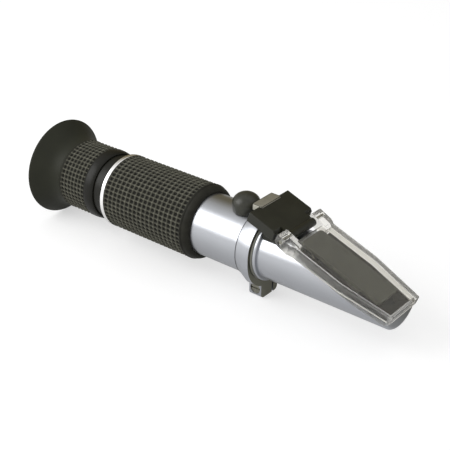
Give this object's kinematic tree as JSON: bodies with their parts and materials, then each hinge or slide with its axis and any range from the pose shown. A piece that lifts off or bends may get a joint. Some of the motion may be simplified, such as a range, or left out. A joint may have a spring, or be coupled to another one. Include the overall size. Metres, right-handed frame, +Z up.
{
  "type": "brix refractometer",
  "caption": "Hand-held brix refractometer with a focusing eyepiece, rubber grip, zero screw under a rubber cap and a hinged clear cover over a sloping prism.",
  "frame": {"origin": "centre of the flat foot of the clamp collar's lug, on which the instrument rests with the rim of its eyecup", "axes": "+X along the tube from the eyepiece to the prism, +Y to the left seen from the eyepiece, +Z up through the cover"},
  "size_m": [0.1561, 0.0372, 0.0372],
  "materials": {
    "eyecup_rubber": "matte moulded rubber",
    "grip_rubber": "matte rubber with a grid of small square bumps",
    "cap_rubber": "satin moulded rubber",
    "seal_rubber": "matte",
    "satin_aluminium": "satin anodised",
    "bright_trim": "polished",
    "black_metal": "satin black",
    "hinge_black": "gloss black",
    "seat_black": "semi-matte black",
    "screw_steel": "turned steel",
    "screw_brass": "turned brass",
    "strip_metal": "two-metal strip",
    "lens_glass": "clear, coated",
    "prism_glass": "polished, looks dark from above",
    "cover_plastic": "clear, moulded",
    "pad_frosted": "frosted"
  },
  "bodies": {
    "barrel": {"body_tube": "satin_aluminium", "clamp_collar": "satin_aluminium", "clamp_screw": "screw_steel", "clamp_nut": "screw_steel", "grip_sleeve": "grip_rubber", "bright_ring": "bright_trim", "guide_sleeve": "black_metal", "damper_ring": "seal_rubber", "guide_pin": "screw_steel", "reticle_cell": "black_metal", "reticle": "lens_glass", "reticle_retainer": "black_metal", "light_baffle": "black_metal", "zero_bush": "screw_brass", "carriage_guide": "screw_steel", "prism_housing": "satin_aluminium", "hinge_block": "hinge_black", "block_screws": "screw_steel", "hinge_pin": "screw_steel", "prism_seat": "seat_black", "seat_gasket": "seal_rubber", "measuring_prism": "prism_glass", "seat_plug": "seat_black"},
    "lens_cell": {"ocular_cell": "black_metal", "eye_lens": "lens_glass", "lens_spacer": "black_metal", "field_lens": "lens_glass", "lens_retainer": "black_metal"},
    "eyepiece_ring": {"focus_ring": "black_metal", "retaining_ring": "black_metal", "focus_rubber": "grip_rubber", "eyecup": "eyecup_rubber"},
    "zero_adjuster": {"zero_screw": "screw_brass", "zero_circlip": "screw_steel"},
    "objective": {"objective_carriage": "black_metal", "bimetal_strip": "strip_metal", "strip_rivets": "screw_brass", "objective_cell": "black_metal", "objective_lens": "lens_glass"},
    "cap": {"zero_cap": "cap_rubber"},
    "cover": {"daylight_cover": "cover_plastic", "diffuser_pad": "pad_frosted"}
  },
  "joints": [
    {"name": "cover_hinge", "type": "hinge", "parent": "barrel", "child": "cover", "pos_m": [0.0152, 0, 0.0301], "axis": [0, -1, 0], "range_deg": [0, 140]},
    {"name": "focus_slide", "type": "slide", "parent": "barrel", "child": "lens_cell", "axis": [1, 0, 0], "range_m": [-0.002, 0.002]},
    {"name": "focus_turn", "type": "hinge", "parent": "lens_cell", "child": "eyepiece_ring", "pos_m": [-0.0876, 0, 0.0186], "axis": [1, 0, 0], "range_deg": [-180, 180]},
    {"name": "zero_turn", "type": "hinge", "parent": "barrel", "child": "zero_adjuster", "pos_m": [-0.0079, 0, 0.0306], "axis": [0, 0, 1], "range_deg": [-360, 360]},
    {"name": "zero_slide", "type": "slide", "parent": "barrel", "child": "objective", "axis": [0, 0, 1], "range_m": [-0.0005, 0.0005]},
    {"name": "cap_pull", "type": "slide", "parent": "barrel", "child": "cap", "axis": [0, 0, 1], "range_m": [0, 0.01]}
  ],
  "couplings": [
    {"joint": "focus_slide", "follows": "focus_turn", "m_per_rad": 0.000636},
    {"joint": "zero_turn", "follows": "zero_slide", "rad_per_m": -12560}
  ]
}
